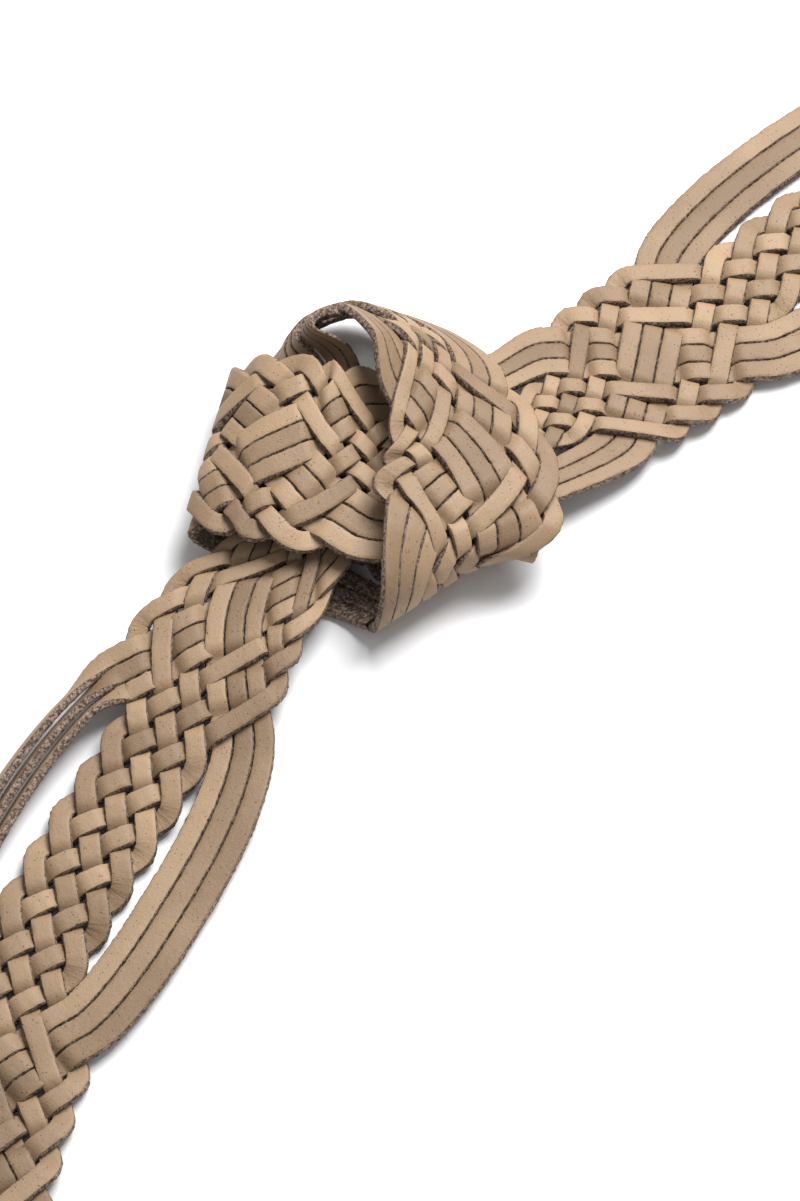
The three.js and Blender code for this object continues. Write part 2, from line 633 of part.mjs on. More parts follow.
// The keeper: a loop of leather round the chape, with room above it for the tip.
const KEEPER_CORNER = 0.8; // inside radius
const keeperLow = -leatherHeight - CLEARANCE;
const keeperHigh = leatherHeight + KEEPER_ROOM;
const keeperShape = rounded(
  STRAP_WIDTH + 2 * (CLEARANCE + KEEPER_THICKNESS),
  keeperLow - KEEPER_THICKNESS,
  keeperHigh + KEEPER_THICKNESS,
  KEEPER_THICKNESS + KEEPER_CORNER,
);
keeperShape.holes.push(rounded(STRAP_WIDTH + 2 * CLEARANCE, keeperLow, keeperHigh, KEEPER_CORNER));
const keeperDepth = { depth: KEEPER_WIDTH, bevelEnabled: false, curveSegments: 4 };
const keeperGeometry = new THREE.ExtrudeGeometry(keeperShape, keeperDepth);
keeperGeometry.rotateX(Math.PI / 2).translate(0, KEEPER_WIDTH, 0);
add("keeper", keeperGeometry, leather).applyMatrix4(placeAt(braidTo + keeperFrom));

// ------------------------------------------------------------ the buckle, with its bar along x at the origin
const BEVEL = 0.8;
const windowWidth = STRAP_WIDTH + WINDOW_SPARE;
const frameWidth = windowWidth + 2 * FRAME_RAIL;
const frontRests = Math.asin((endHeight - FRAME_THICKNESS / 2 - LIFT) / FRAME_LENGTH);
const buckle = new THREE.Group();
buckle.applyMatrix4(placeAt(barAt).multiply(new THREE.Matrix4().makeRotationX(-frontRests)));
belt.add(buckle);

// A flat ring that is open towards the chape, closed there by the bar.
function buckleFrame() {
  const backAt = -BAR_DIAMETER / 2;
  const windowFront = FRAME_LENGTH - FRAME_RAIL;
  const outline = rounded(frameWidth - 2 * BEVEL, backAt, FRAME_LENGTH - BEVEL, FRAME_CORNER);
  const opening = rounded(windowWidth, backAt - FRAME_LENGTH, windowFront, FRAME_CORNER - FRAME_RAIL / 2);
  const depth = FRAME_THICKNESS - 2 * BEVEL;
  const bevel = { bevelThickness: BEVEL, bevelSize: BEVEL, bevelSegments: 1, curveSegments: 6 };
  const plate = new THREE.ExtrudeGeometry(outline, { depth, ...bevel }).translate(0, 0, -depth / 2);
  const through = { depth: 4 * FRAME_THICKNESS, bevelEnabled: false, curveSegments: 6 };
  const cutter = new THREE.ExtrudeGeometry(opening, through).translate(0, 0, -2 * FRAME_THICKNESS);
  const barRadius = BAR_DIAMETER / 2;
  const bar = new THREE.CylinderGeometry(barRadius, barRadius, windowWidth + FRAME_RAIL, 16);
  bar.rotateZ(Math.PI / 2);
  return geometryOf(solid(plate).subtract(solid(cutter)).add(solid(bar)));
}

add("buckle_frame", buckleFrame(), brass, buckle);

// The prong: an eye round the bar and a blade that rests on the frame's front rail.
const PRONG_PAST = 1; // how far the blade reaches past the frame's front

function prong() {
  const inner = BAR_DIAMETER / 2 + CLEARANCE;
  const restHeight = FRAME_THICKNESS / 2 + CLEARANCE;
  const slope = (restHeight + PRONG_THICKNESS / 2) / (FRAME_LENGTH - FRAME_RAIL);
  const round = (radius, width) => new THREE.CylinderGeometry(radius, radius, width, 24).rotateZ(Math.PI / 2);
  const length = FRAME_LENGTH + PRONG_PAST;
  const blade = new THREE.BoxGeometry(PRONG_WIDTH, length, PRONG_THICKNESS).translate(0, length / 2, 0);
  blade.rotateX(Math.atan(slope));
  const whole = solid(round(eyeRadius, PRONG_WIDTH)).add(solid(blade));
  return geometryOf(whole.subtract(solid(round(inner, 2 * PRONG_WIDTH))));
}

add("buckle_prong", prong(), brass, buckle);

// The belt stands on z = 0, and its origin is under the middle of the space that it takes up.
belt.updateMatrixWorld(true);
const taken = new THREE.Box3().setFromObject(belt, true);
belt.position.set(-(taken.min.x + taken.max.x) / 2, -(taken.min.y + taken.max.y) / 2, -taken.min.z);

export default belt;
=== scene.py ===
# %% [markdown]
# # A braided leather belt, tied in an overhand knot
# The belt is an openwork braid of twelve flat leather laces. Six of them run singly, and six run in two
# bundles of three, which bow out to the sides and cross each other at every tenth pass. The braid ends in a
# leather tip at one end, and in a chape with a buckle at the other.
#
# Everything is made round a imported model, which fixes where each piece is. This lesson makes the laces
# again with their true weave and worn edges, finishes the leather ends and the buckle, and lights them.

import json
import math

import bmesh
import bpy
import numpy as np
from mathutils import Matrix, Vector
from mathutils.bvhtree import BVHTree


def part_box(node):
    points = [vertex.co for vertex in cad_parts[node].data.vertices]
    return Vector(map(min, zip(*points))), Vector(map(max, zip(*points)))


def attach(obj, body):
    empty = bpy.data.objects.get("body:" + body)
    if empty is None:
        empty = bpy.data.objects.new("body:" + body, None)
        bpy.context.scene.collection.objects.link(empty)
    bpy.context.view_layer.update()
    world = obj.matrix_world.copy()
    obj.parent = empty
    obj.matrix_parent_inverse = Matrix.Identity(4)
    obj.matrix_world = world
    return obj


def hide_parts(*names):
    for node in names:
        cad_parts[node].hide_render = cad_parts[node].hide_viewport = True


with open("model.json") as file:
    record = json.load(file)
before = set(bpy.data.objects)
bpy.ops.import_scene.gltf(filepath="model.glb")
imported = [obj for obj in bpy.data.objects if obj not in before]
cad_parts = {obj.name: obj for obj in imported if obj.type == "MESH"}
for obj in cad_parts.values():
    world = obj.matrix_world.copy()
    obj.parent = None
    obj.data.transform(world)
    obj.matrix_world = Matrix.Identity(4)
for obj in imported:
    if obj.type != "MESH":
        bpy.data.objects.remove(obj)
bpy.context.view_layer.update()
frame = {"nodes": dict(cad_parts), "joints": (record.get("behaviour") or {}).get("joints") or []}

# %% [markdown]
# ## The plan of the braid
# A braid is easiest to think of as it lies flat. Every lace runs straight across the belt at one angle, turns
# at the edge and runs back. One such run is called a pass, and passes are numbered along the belt. Pass i
# going right meets pass j going left at a place that depends only on the two numbers, so the whole braid is a
# few formulas. A bundle takes the room of about two and a half single passes.
#
# Sizes here are in millimetres, because that is how a leather worker thinks. They become metres when a mesh
# is made.

# %% Sizes of the braid
MM = 0.001
LACE_WIDTH = 4.5
LACE_THICKNESS = 1.8
PLAN_WIDTH = 4.2  # the lace's width without its loose fibres, which the spacing is counted from
SPACING = 1.64
BUNDLE_GAP = 0.45
BRAID_ANGLE = math.radians(35.75)
BUNDLE_LACES = 3
PASSES = 10
FIRST_PERIOD = -2
LAST_PERIOD = 5
WEAVE = 0.9  # how far a lace's middle goes up and down

pitch = PLAN_WIDTH + SPACING
crossing_step = pitch / math.sin(2 * BRAID_ANGLE)
side_step = crossing_step * math.sin(BRAID_ANGLE)
forward_step = crossing_step * math.cos(BRAID_ANGLE)
bundle_pitch = PLAN_WIDTH + BUNDLE_GAP
bundle_share = ((BUNDLE_LACES - 1) * bundle_pitch + pitch) / pitch
period = 2 * forward_step * (PASSES - 1 + bundle_share)
print(f"one period is {period:.1f} mm")
print(f"a pass steps {side_step:.2f} mm sideways and {forward_step:.2f} mm forward")

# %% [markdown]
# ## The route of the belt
# The knot is a route through space for the middle of the belt, given by rows of a place, the way that the
# grain side faces, and the share of its width that the braid keeps where the knot bunches it. A smooth curve
# runs through the rows. The rows of a knot are chosen as one would lay the belt on a table, and the two
# tails go on from it as an arc and a straight.

# %% Rows of the route
LYING = 2.3
KNOT_ROUTE = [
    (-62, -101, LYING, 0, 0, 1, 1),
    (-45, -70, 4.2, 0, 0, 1, 0.96),
    (-31, -44, 7.2, 0, 0, 1, 0.8),
    (-15.5, -23, 8.8, 0, 0, 1, 0.52),
    (-14, -3, 9.4, 0, 0, 1, 0.5),
    (-15.5, 10, 11.3, -0.2, 0.03, 0.97, 0.45),
    (-17.5, 22, 14.6, -0.85, 0.4, 0.36, 0.48),
    (-7, 28, 15.6, 0.08, 0.86, 0.5, 0.5),
    (6.5, 20, 19, 0.5, 0.55, 0.67, 0.55),
    (14.5, 4.5, 19.6, 0.3, 0.1, 0.95, 0.7),
    (19, -11, 19.2, 0.22, -0.05, 0.97, 0.88),
    (18, -23, 18, 0.22, -0.2, 0.95, 0.95),
    (16, -30.3, 15.3, 0.41, -0.56, 0.72, 0.76),
    (14.4, -33.2, 10, 0.58, -0.81, 0, 0.76),
    (12.8, -30.3, 4.7, 0.41, -0.56, -0.72, 0.76),
    (8.4, -25.8, 2.9, 0, 0, -1, 0.76),
    (-3, -16.5, 2.7, 0, 0, -1, 0.86),
    (-17, -10, 2.4, 0, 0, -1, 0.74),
    (-29, -6, 3.6, -0.35, 0.1, -1, 0.78),
    (-35, -4, 10, -0.97, 0.24, 0, 0.94),
    (-26, -6, 17, -0.2, -0.05, 0.97, 1.02),
    (-12, -9.5, 17.6, 0, -0.16, 0.98, 1.02),
    (3, -9, 13.6, 0, -0.05, 1, 0.88),
    (19, -3.6, 9.4, 0, 0, 1, 0.66),
    (34, 5, 7.8, 0, 0, 1, 0.72),
    (51, 18, 4.4, 0, 0, 1, 0.96),
    (70, 34, 2.5, 0, 0, 1, 1),
    (95, 56, LYING, 0, 0, 1, 1),
]
ENTRY_ROW = 2
CROSSINGS_AT = [3, 135, 244, 335]  # where the bundles cross in the knot, as lengths along the route
END_HEIGHT = 4.3
TAIL_ROW = 24
TIP_TAIL = {"heading": -118, "bend": 200, "sweep": 28, "raised": (60, 205)}
BUCKLE_TAIL = {"heading": 42, "bend": 160, "sweep": -42, "raised": (110, 1000)}
TIP_LENGTH = 112
CHAPE_LENGTH = 50
FINE = 0.5


def tail_rows(start, tail, straight):
    """Rows that run on from a lying end: an arc, then a straight stretch."""
    rows = []
    arc = abs(math.radians(tail["sweep"])) * tail["bend"]
    x, y = start[:2]
    for i in range(1, math.ceil((arc + straight) / TAIL_ROW) + 1):
        middle = min(i - 0.5, arc / TAIL_ROW) * TAIL_ROW
        heading = math.radians(tail["heading"] + middle / arc * tail["sweep"])
        x += TAIL_ROW * math.cos(heading)
        y += TAIL_ROW * math.sin(heading)
        raised = tail["raised"][0] < i * TAIL_ROW < tail["raised"][1]
        rows.append((x, y, END_HEIGHT if raised else LYING, 0, 0, 1, 1))
    return rows


def hermite(u, p0, m0, p1, m1):
    return ((2 * u**3 - 3 * u**2 + 1) * p0 + (u**3 - 2 * u**2 + u) * m0
            + (3 * u**2 - 2 * u**3) * p1 + (u**3 - u**2) * m1)


# %% The curve through the rows
tip_rows = tail_rows(KNOT_ROUTE[0], TIP_TAIL, -FIRST_PERIOD * period + TIP_LENGTH)[::-1]
buckle_room = (LAST_PERIOD - len(CROSSINGS_AT) + 1) * period + CHAPE_LENGTH
buckle_rows = tail_rows(KNOT_ROUTE[-1], BUCKLE_TAIL, buckle_room)
rows = np.array(tip_rows + KNOT_ROUTE + buckle_rows, float)
row_at = np.concatenate([[0], np.cumsum(np.linalg.norm(np.diff(rows[:, :3], axis=0), axis=1))])
step = np.diff(row_at)[:, None]
rise = np.diff(rows, axis=0) / step
between = (rise[1:] * step[:-1] + rise[:-1] * step[1:]) / (step[:-1] + step[1:])
slope = np.vstack([rise[:1], between, rise[-1:]])


def along_rows(t):
    """The rows' values at lengths t along the row-to-row distances."""
    i = np.clip(np.searchsorted(row_at, t, side="right") - 1, 0, len(rows) - 2)
    span = (row_at[i + 1] - row_at[i])[:, None]
    u = (t - row_at[i])[:, None] / span
    return hermite(u, rows[i], slope[i] * span, rows[i + 1], slope[i + 1] * span)


samples = along_rows(np.arange(0, row_at[-1], FINE / 2))
lengths = np.concatenate([[0], np.cumsum(np.linalg.norm(np.diff(samples[:, :3], axis=0), axis=1))])
entry = lengths[int(row_at[len(tip_rows) + ENTRY_ROW] / (FINE / 2))]
even = np.arange(0, lengths[-1] - FINE, FINE)
places = np.stack([np.interp(even, lengths, column) for column in samples.T], axis=1)
print(f"the belt's route is {lengths[-1]:.0f} mm long, in {len(rows)} rows")

# %% [markdown]
# ## From the flat braid to the knotted belt
# At every place the route has a direction, a grain side and a right-hand side. A point of the flat braid,
# given by how far right, how far along and how high, goes to the same place beside the route. The knot also
# draws the braid out, so the crossings of the bundles have their own lengths along the route.


# %% Laying flat points on the belt
def unit(vectors):
    return vectors / np.linalg.norm(vectors, axis=-1, keepdims=True)


middles = places[:, :3]
directions = unit(np.gradient(middles, axis=0))
grains = places[:, 3:6] - np.sum(places[:, 3:6] * directions, axis=1, keepdims=True) * directions
grains = unit(grains)
rights = np.cross(directions, grains)
widths = places[:, 6]


def route_length(y):
    """Length along the route for places y of the flat braid."""
    n = len(CROSSINGS_AT)
    index = np.arange(-5, n + 5)
    known = np.array([CROSSINGS_AT[0] + i * period if i < 0 else
                      CROSSINGS_AT[-1] + (i - n + 1) * period if i >= n else
                      CROSSINGS_AT[i] for i in index])
    lean = np.gradient(known)
    i = np.floor(y / period).astype(int) + 5
    return hermite(y / period - np.floor(y / period), known[i], lean[i], known[i + 1], lean[i + 1])


def on_belt(points):
    """Flat points as an array of x, y and z, where they lie in the knotted belt."""
    points = np.atleast_2d(np.asarray(points, float))
    at = np.clip((route_length(points[:, 1]) + entry) / FINE, 0, len(places) - 1.001)
    i = at.astype(int)
    u = (at - i)[:, None]
    middle = middles[i] + (middles[i + 1] - middles[i]) * u
    right = unit(rights[i] + (rights[i + 1] - rights[i]) * u)
    grain = unit(grains[i] + (grains[i + 1] - grains[i]) * u)
    width = widths[i] + (widths[i + 1] - widths[i]) * u[:, 0]
    return middle + right * (points[:, 0] * width)[:, None] + grain * points[:, 2:3]


braid_from = FIRST_PERIOD * period
braid_to = LAST_PERIOD * period
bar_at = braid_to + CHAPE_LENGTH
hinge = next(joint for joint in frame["joints"] if joint["name"] == "frame_hinge")
shift = np.array(hinge["pos_m"]) / MM - on_belt([[0, bar_at, 0]])[0]
print("the route's own origin lies at", np.round(shift, 2), "mm in the packed model")


def to_model(points):
    """Places beside the route, in millimetres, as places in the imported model, in metres."""
    return (np.asarray(points) + shift) * MM


# %% [markdown]
# ## Over and under
# Each pass crosses five to seven others, over one and under the next. Between two crossings the lace changes
# height smoothly, and it turns back at the edge in a round loop. A bundle's loop is the long bow that gives
# this belt its open sides.


# %% One lace's middle line
def is_bundle(i):
    return i % PASSES == 0


def share(i):
    return bundle_share if is_bundle(i) else 1


def centre(i):
    periods, rest = divmod(i, PASSES)
    return periods * (PASSES - 1 + bundle_share) + (0 if rest == 0 else (bundle_share + 1) / 2 + rest - 1)


def crossed(i):
    """How many passes ahead are the passes that pass i crosses, in order."""
    rest = i % PASSES
    first = -3 if rest <= 3 else -2
    last = 3 if rest == 0 or rest >= PASSES - 3 else 2
    return list(range(first, last + 1))


def next_pass(i):
    if is_bundle(i):
        return i + PASSES
    return i + 4 if i % PASSES >= PASSES - 3 else i + 3


def goes_over(k, side):
    return (k % 2 == 1) if side > 0 else (k % 2 == 0)


BUNDLE_LEAD = 0.5  # how far a bundle runs on straight past its last crossing, in crossings
BUNDLE_PULL = 0.5
TURN_PULL = 8
TURN_SHARE = 0.8
RING_STEP = 0.8  # spacing of the rings of points along a lace
HELD = 0.1  # how much shorter a crossing's level stretch is than the lace that it crosses, in crossings


def pass_ends(i):
    lead = BUNDLE_LEAD if is_bundle(i) else 0
    first, last = crossed(i)[0], crossed(i)[-1]
    return (centre(i + first) - (share(i + first) - 1) / 2 - lead,
            centre(i + last) + (share(i + last) - 1) / 2 + lead)


def smooth(u):
    u = np.clip(u, 0, 1)
    return u * u * (3 - 2 * u)


def weave_level(i, side, c):
    """Height of pass i at counts c along it, from -1 to 1, and its last height."""
    hold = [(share(i + k) - SPACING / pitch) / 2 - HELD for k in crossed(i)]
    middle = [centre(i + k) for k in crossed(i)]
    level = [1 if goes_over(k, side) else -1 for k in crossed(i)]
    height = np.full(len(c), float(level[0]))
    for m in range(len(level) - 1):
        start = middle[m] + hold[m]
        stop = middle[m + 1] - hold[m + 1]
        height += (level[m + 1] - level[m]) * smooth((c - start) / (stop - start))
    return height, level[-1]


def lace_line(i, side):
    """Rows of x, y, height and turn along a lace, where turn says how far it is round a loop."""
    bundle = is_bundle(i)
    parts = []
    while centre(i) * 2 * forward_step < (LAST_PERIOD + 1) * period:
        begin, end = pass_ends(i)
        c = np.linspace(begin, end, math.ceil((end - begin) * crossing_step / RING_STEP), endpoint=False)
        height, leaving = weave_level(i, side, c)
        straight = np.stack([(c - centre(i)) * side_step * side, (centre(i) + c) * forward_step, height,
                             np.zeros(len(c))], axis=1)
        following = next_pass(i)
        p0 = ((end - centre(i)) * side_step * side, (centre(i) + end) * forward_step)
        start = pass_ends(following)[0]
        p1 = ((start - centre(following)) * side_step * -side, (centre(following) + start) * forward_step)
        chord = p1[1] - p0[1]
        pull = BUNDLE_PULL * chord if bundle else TURN_PULL + TURN_SHARE * chord
        sideways = side_step / crossing_step * pull * side
        forward = forward_step / crossing_step * pull
        u = np.linspace(0, 1, math.ceil(chord * 1.25 / RING_STEP), endpoint=False)
        arriving = 1 if goes_over(crossed(following)[0], -side) else -1
        height = leaving + (arriving - leaving) * smooth((u - 0.1) / 0.8)
        x = hermite(u, p0[0], sideways, p1[0], -sideways)
        y = hermite(u, p0[1], forward, p1[1], forward)
        turn = np.stack([x, y, height, np.sin(math.pi * u) * side], axis=1)
        parts += [straight, turn]
        i, side = following, -side
    line = np.vstack(parts)
    return line[(line[:, 1] > braid_from) & (line[:, 1] < braid_to)]


# %% [markdown]
# ## The shape of one lace
# A lace is cut from a hide with a blade, so it is a flat strip with one smooth grain side, a rough flesh side
# and two cut edges that stand up fuzzy. A curve with a bevel could make it, but a bevel has the same
# cross-section everywhere and can't carry values. So the strip is a loop of sixteen points that is repeated
# along the line and laid on the belt. Each point also carries how much of a cut edge it is, and the material
# reads that. The edge points are pushed in and out a little, ring by ring, because a blade never cuts soft
# leather straight.

# %% The cross-section and the mesh of a lace
half_width = LACE_WIDTH / 2
half_thickness = LACE_THICKNESS / 2
# Across, up, and how much of a cut edge or flesh side each point is.
HALF_SECTION = [
    (0.5 * half_width, half_thickness + 0.03, 0),
    (half_width - 0.3, half_thickness, 0.04),
    (half_width - 0.12, half_thickness - 0.12, 0.8),
    (half_width, 0.25, 1),
    (half_width + 0.03, -0.25, 1),
    (half_width - 0.06, 0.15 - half_thickness, 1),
    (0.6 * half_width, -half_thickness, 1),
]
SECTION = np.array([(0, half_thickness + 0.05, 0)] + HALF_SECTION + [(0, -half_thickness, 1)]
                   + [(-u, v, e) for u, v, e in HALF_SECTION[::-1]])
RAGGED = 0.09
# Where a bundle's bow stands on its edge, as counts of the period: how far it rolls, how close its laces
# gather, and how far it lifts, so that it stays above the table.
STANDING = {"from": -1, "to": 0, "side": -1, "roll": math.radians(62), "gather": 0.62, "lift": 1.3}


def mesh_piece(name, points, faces):
    mesh = bpy.data.meshes.new(name)
    mesh.from_pydata([tuple(p) for p in points], [], [tuple(f) for f in faces])
    mesh.validate()
    mesh.polygons.foreach_set("use_smooth", [True] * len(mesh.polygons))
    piece = bpy.data.objects.new(name, mesh)
    bpy.context.scene.collection.objects.link(piece)
    return piece


def ring_faces(count, sides):
    """Quads between rings of points, and a cap at each end.

    Round a lace they face inwards. The metal pieces are turned by outwards(), and the laces are not.
    """
    i, k = np.meshgrid(np.arange(count - 1), np.arange(sides), indexing="ij")
    a = (i * sides + k).ravel()
    b = (i * sides + (k + 1) % sides).ravel()
    quads = np.stack([a, b, b + sides, a + sides], axis=1).tolist()
    return quads + [list(range(sides))[::-1], list(range((count - 1) * sides, count * sides))]


def add_attribute(piece, name, values):
    layer = piece.data.attributes.new(name, "FLOAT", "POINT")
    layer.data.foreach_set("value", np.asarray(values, np.float32).ravel())


def make_lace(name, line, offset, bundle, seed):
    """One lace along its line, shifted left by offset, as a mesh laid on the belt."""
    rng = np.random.default_rng(seed)
    plan = unit(np.gradient(line[:, :2], axis=0))
    left = np.stack([-plan[:, 1], plan[:, 0], np.zeros(len(line))], axis=1)
    middle = np.stack([line[:, 0], line[:, 1], line[:, 2] * WEAVE], axis=1)
    bow = np.abs(line[:, 3])
    beside = line[:, 3] * STANDING["side"] > 0
    between = (line[:, 1] > STANDING["from"] * period) & (line[:, 1] < STANDING["to"] * period)
    stands = smooth(bow * 1.6) * (beside & between & bundle)
    roll = STANDING["roll"] * STANDING["side"] * stands
    middle += left * (offset * (1 - (1 - STANDING["gather"]) * stands))[:, None]
    middle[:, 2] += STANDING["lift"] * stands
    along = unit(np.gradient(middle, axis=0))
    left = unit(left - np.sum(left * along, axis=1, keepdims=True) * along)
    up = np.cross(along, left)
    across = np.cos(roll)[:, None] * left + np.sin(roll)[:, None] * up
    above = np.cos(roll)[:, None] * up - np.sin(roll)[:, None] * left
    n, sides = len(line), len(SECTION)
    ragged = rng.normal(0, RAGGED, (n, sides)) * SECTION[:, 2]
    points = (middle[:, None] + across[:, None] * (SECTION[:, 0] * (1 + ragged / half_width))[..., None]
              + above[:, None] * (SECTION[:, 1] * (1 + 0.5 * ragged / half_thickness))[..., None])
    piece = mesh_piece(name, to_model(on_belt(points.reshape(-1, 3))), ring_faces(n, sides))
    length = np.concatenate([[0], np.cumsum(np.linalg.norm(np.diff(middle, axis=0), axis=1))])
    add_attribute(piece, "edge", np.tile(SECTION[:, 2], n))
    add_attribute(piece, "wall", np.tile(SECTION[:, 2] * (np.abs(SECTION[:, 1]) < 0.5 * half_thickness), n))
    add_attribute(piece, "along", np.repeat(length * MM, sides))
    add_attribute(piece, "across", np.tile(SECTION[:, 0] * MM, n))
    add_attribute(piece, "bend", np.repeat(bow * (not bundle), sides))
    tone = rng.uniform(0.25, 0.75) + 0.12 * np.sin(length / 47 + rng.uniform(0, 6))
    add_attribute(piece, "tone", np.repeat(tone, sides))
    return piece, length[-1]


# %% Twelve laces
laces = {}
seen = set()
first_pass = (FIRST_PERIOD - 2) * PASSES
for start in range(first_pass, first_pass + PASSES):
    for side in (1, -1):
        if (start, side) in seen:
            continue
        i, s = start, side
        while i < first_pass + 3 * PASSES:
            seen.add((i, s))
            i, s = next_pass(i), -s
        bundle = is_bundle(start)
        line = lace_line(start, side)
        for k in range(BUNDLE_LACES if bundle else 1):
            singles = sum("single" in node for node in laces)
            letter = "a" if singles + len(laces) < BUNDLE_LACES else "b"
            node = f"bundle_{letter}_lace_{k + 1}" if bundle else f"single_lace_{singles + 1}"
            offset = (k - (BUNDLE_LACES - 1) / 2) * bundle_pitch if bundle else 0
            laces[node], length = make_lace(node + "_leather", line, offset, bundle, len(laces))
print(len(laces), "laces; the last one is", round(length), "mm long between the ends of the braid")
print("names", *laces)

# %% [markdown]
# ## Values as sums
# A material is a network of nodes, and a network is hard to read as code. A small class wraps a socket and
# adds a Math node for every plus, minus or times, so that a formula looks like a formula. Any other node
# comes from one method.


# %% The class for shader maths
class Value:
    """An output socket that takes part in sums."""

    def __init__(self, finish, socket):
        self.finish = finish
        self.socket = socket

    def maths(self, operation, a, b):
        return self.finish.node("ShaderNodeMath", {"operation": operation}, {0: a, 1: b})

    def __add__(self, other):
        return self.maths("ADD", self, other)

    def __sub__(self, other):
        return self.maths("SUBTRACT", self, other)

    def __rsub__(self, other):
        return self.maths("SUBTRACT", other, self)

    def __mul__(self, other):
        return self.maths("MULTIPLY", self, other)

    __radd__ = __add__
    __rmul__ = __mul__


class Finish:
    """A material that is put together node by node."""

    def __init__(self, name, **constants):
        self.material = bpy.data.materials.new(name)
        self.material.use_nodes = True
        self.tree = self.material.node_tree
        self.surface = self.tree.nodes["Principled BSDF"]
        for socket, value in constants.items():
            self.surface.inputs[socket.replace("_", " ")].default_value = value

    def node(self, kind, settings, inputs, output=0):
        made = self.tree.nodes.new(kind)
        for key, value in settings.items():
            setattr(made, key, value)
        for key, value in inputs.items():
            self.feed(made.inputs[key], value)
        return Value(self, made.outputs[output])

    def feed(self, socket, value):
        if isinstance(value, Value):
            self.tree.links.new(value.socket, socket)
        else:
            socket.default_value = value

    def attribute(self, name):
        return self.node("ShaderNodeAttribute", {"attribute_name": name}, {}, "Fac")

    def place(self):
        return self.node("ShaderNodeTexCoord", {}, {}, "Object")

    def noise(self, vector, scale, detail=3.0, roughness=0.6):
        inputs = {"Vector": vector, "Scale": scale, "Detail": detail, "Roughness": roughness}
        return self.node("ShaderNodeTexNoise", {}, inputs)

    def spread(self, value, low, high):
        """Value from 0 at low to 1 at high, smoothly."""
        settings = {"interpolation_type": "SMOOTHSTEP"}
        return self.node("ShaderNodeMapRange", settings, {"Value": value, "From Min": low, "From Max": high})

    def mix(self, factor, a, b):
        """Colour a where factor is 0 and b where it is 1."""
        colours = [(*c, 1) if isinstance(c, tuple) else c for c in (a, b)]
        inputs = {"Factor": factor, 6: colours[0], 7: colours[1]}
        return self.node("ShaderNodeMix", {"data_type": "RGBA"}, inputs, 2)

    def bump(self, height, distance, strength=1.0):
        return self.node("ShaderNodeBump", {}, {"Height": height, "Distance": distance, "Strength": strength})

    def wire(self, **sockets):
        for socket, value in sockets.items():
            self.feed(self.surface.inputs[socket.replace("_", " ")], value)
        return self.material


# %% [markdown]
# ## The leather of the laces
# Vegetable-tanned leather is matt and warm on its grain side, with a scatter of fine dark pores and a slow
# change of tone along the hide. Its cut edges and its flesh side are a felt of fibres, pale where they catch
# the light and dark between. The edge value on the mesh says where one ends and the other starts, and noise
# makes the border uneven. Where a lace turns tightly at the belt's edge, the grain wrinkles across it.

# %% Lace leather
GRAIN_LIGHT = (0.365, 0.246, 0.148)
GRAIN_DEEP = (0.175, 0.111, 0.063)
FELT_LIGHT = (0.430, 0.320, 0.245)
FELT_DARK = (0.075, 0.048, 0.036)
PORE = 0.5  # how dark a pore is beside the grain


def lace_leather():
    f = Finish("lace leather", Specular_IOR_Level=0.35)
    place = f.place()
    edge = f.attribute("edge")
    strip = f.node("ShaderNodeCombineXYZ", {}, {"X": f.attribute("along"), "Y": f.attribute("across"),
                                                "Z": f.attribute("tone") * 0.2})
    cells = f.node("ShaderNodeTexVoronoi", {}, {"Vector": strip, "Scale": 1150.0}, "Distance")
    sparse = f.spread(f.noise(strip, 420.0, 1.0), 0.42, 0.6)
    pores = f.spread(cells, 0.2, 0.06) * sparse
    clouds = f.noise(place, 38.0, 3.0)
    fine = f.noise(strip, 2600.0, 2.0)
    tone = f.spread(f.attribute("tone") + (clouds - 0.5) * 0.9 + (fine - 0.5) * 0.35, 0.05, 0.95)
    grain = f.mix(tone, GRAIN_DEEP, GRAIN_LIGHT)
    dark = f.node("ShaderNodeMix", {"data_type": "RGBA", "blend_type": "MULTIPLY"},
                  {"Factor": pores, 6: grain, 7: (PORE, PORE * 0.93, PORE * 0.86, 1)}, 2)
    felt = f.noise(place, 1500.0, 4.0, 0.75)
    felt_colour = f.mix(f.spread(felt, 0.4, 0.66), FELT_DARK, FELT_LIGHT)
    cut = f.spread(edge + (f.noise(place, 1300.0, 2.0) - 0.5) * 0.7, 0.42, 0.68)
    across = f.node("ShaderNodeVectorMath", {"operation": "MULTIPLY"}, {0: strip, 1: (1.0, 0.18, 0.3)})
    wrinkles = f.noise(across, 900.0, 2.0) * f.attribute("bend")
    smooth_side = pores * -0.7 + fine * 0.35 + wrinkles * 1.4 + f.noise(strip, 900.0, 2.0) * 0.5
    height = smooth_side * (1 - cut) + felt * 2.6 * cut
    return f.wire(Base_Color=f.mix(cut, dark, felt_colour), Roughness=0.58 + cut * 0.36 + pores * 0.1,
                  Normal=f.bump(height, 0.00019))


leather = lace_leather()
for piece in laces.values():
    piece.data.materials.append(leather)
print("lace leather:", len(leather.node_tree.nodes), "nodes")

# %% [markdown]
# ## Loose fibres on the cut edges
# Bump alone leaves an edge clean against the light, and a cut edge of soft leather never is. A Geometry Nodes
# tree scatters points on the cut walls of a lace and stands a tiny cone on each, leaning at random. Real
# hairs would be too many, so each cone stands for a small tuft.


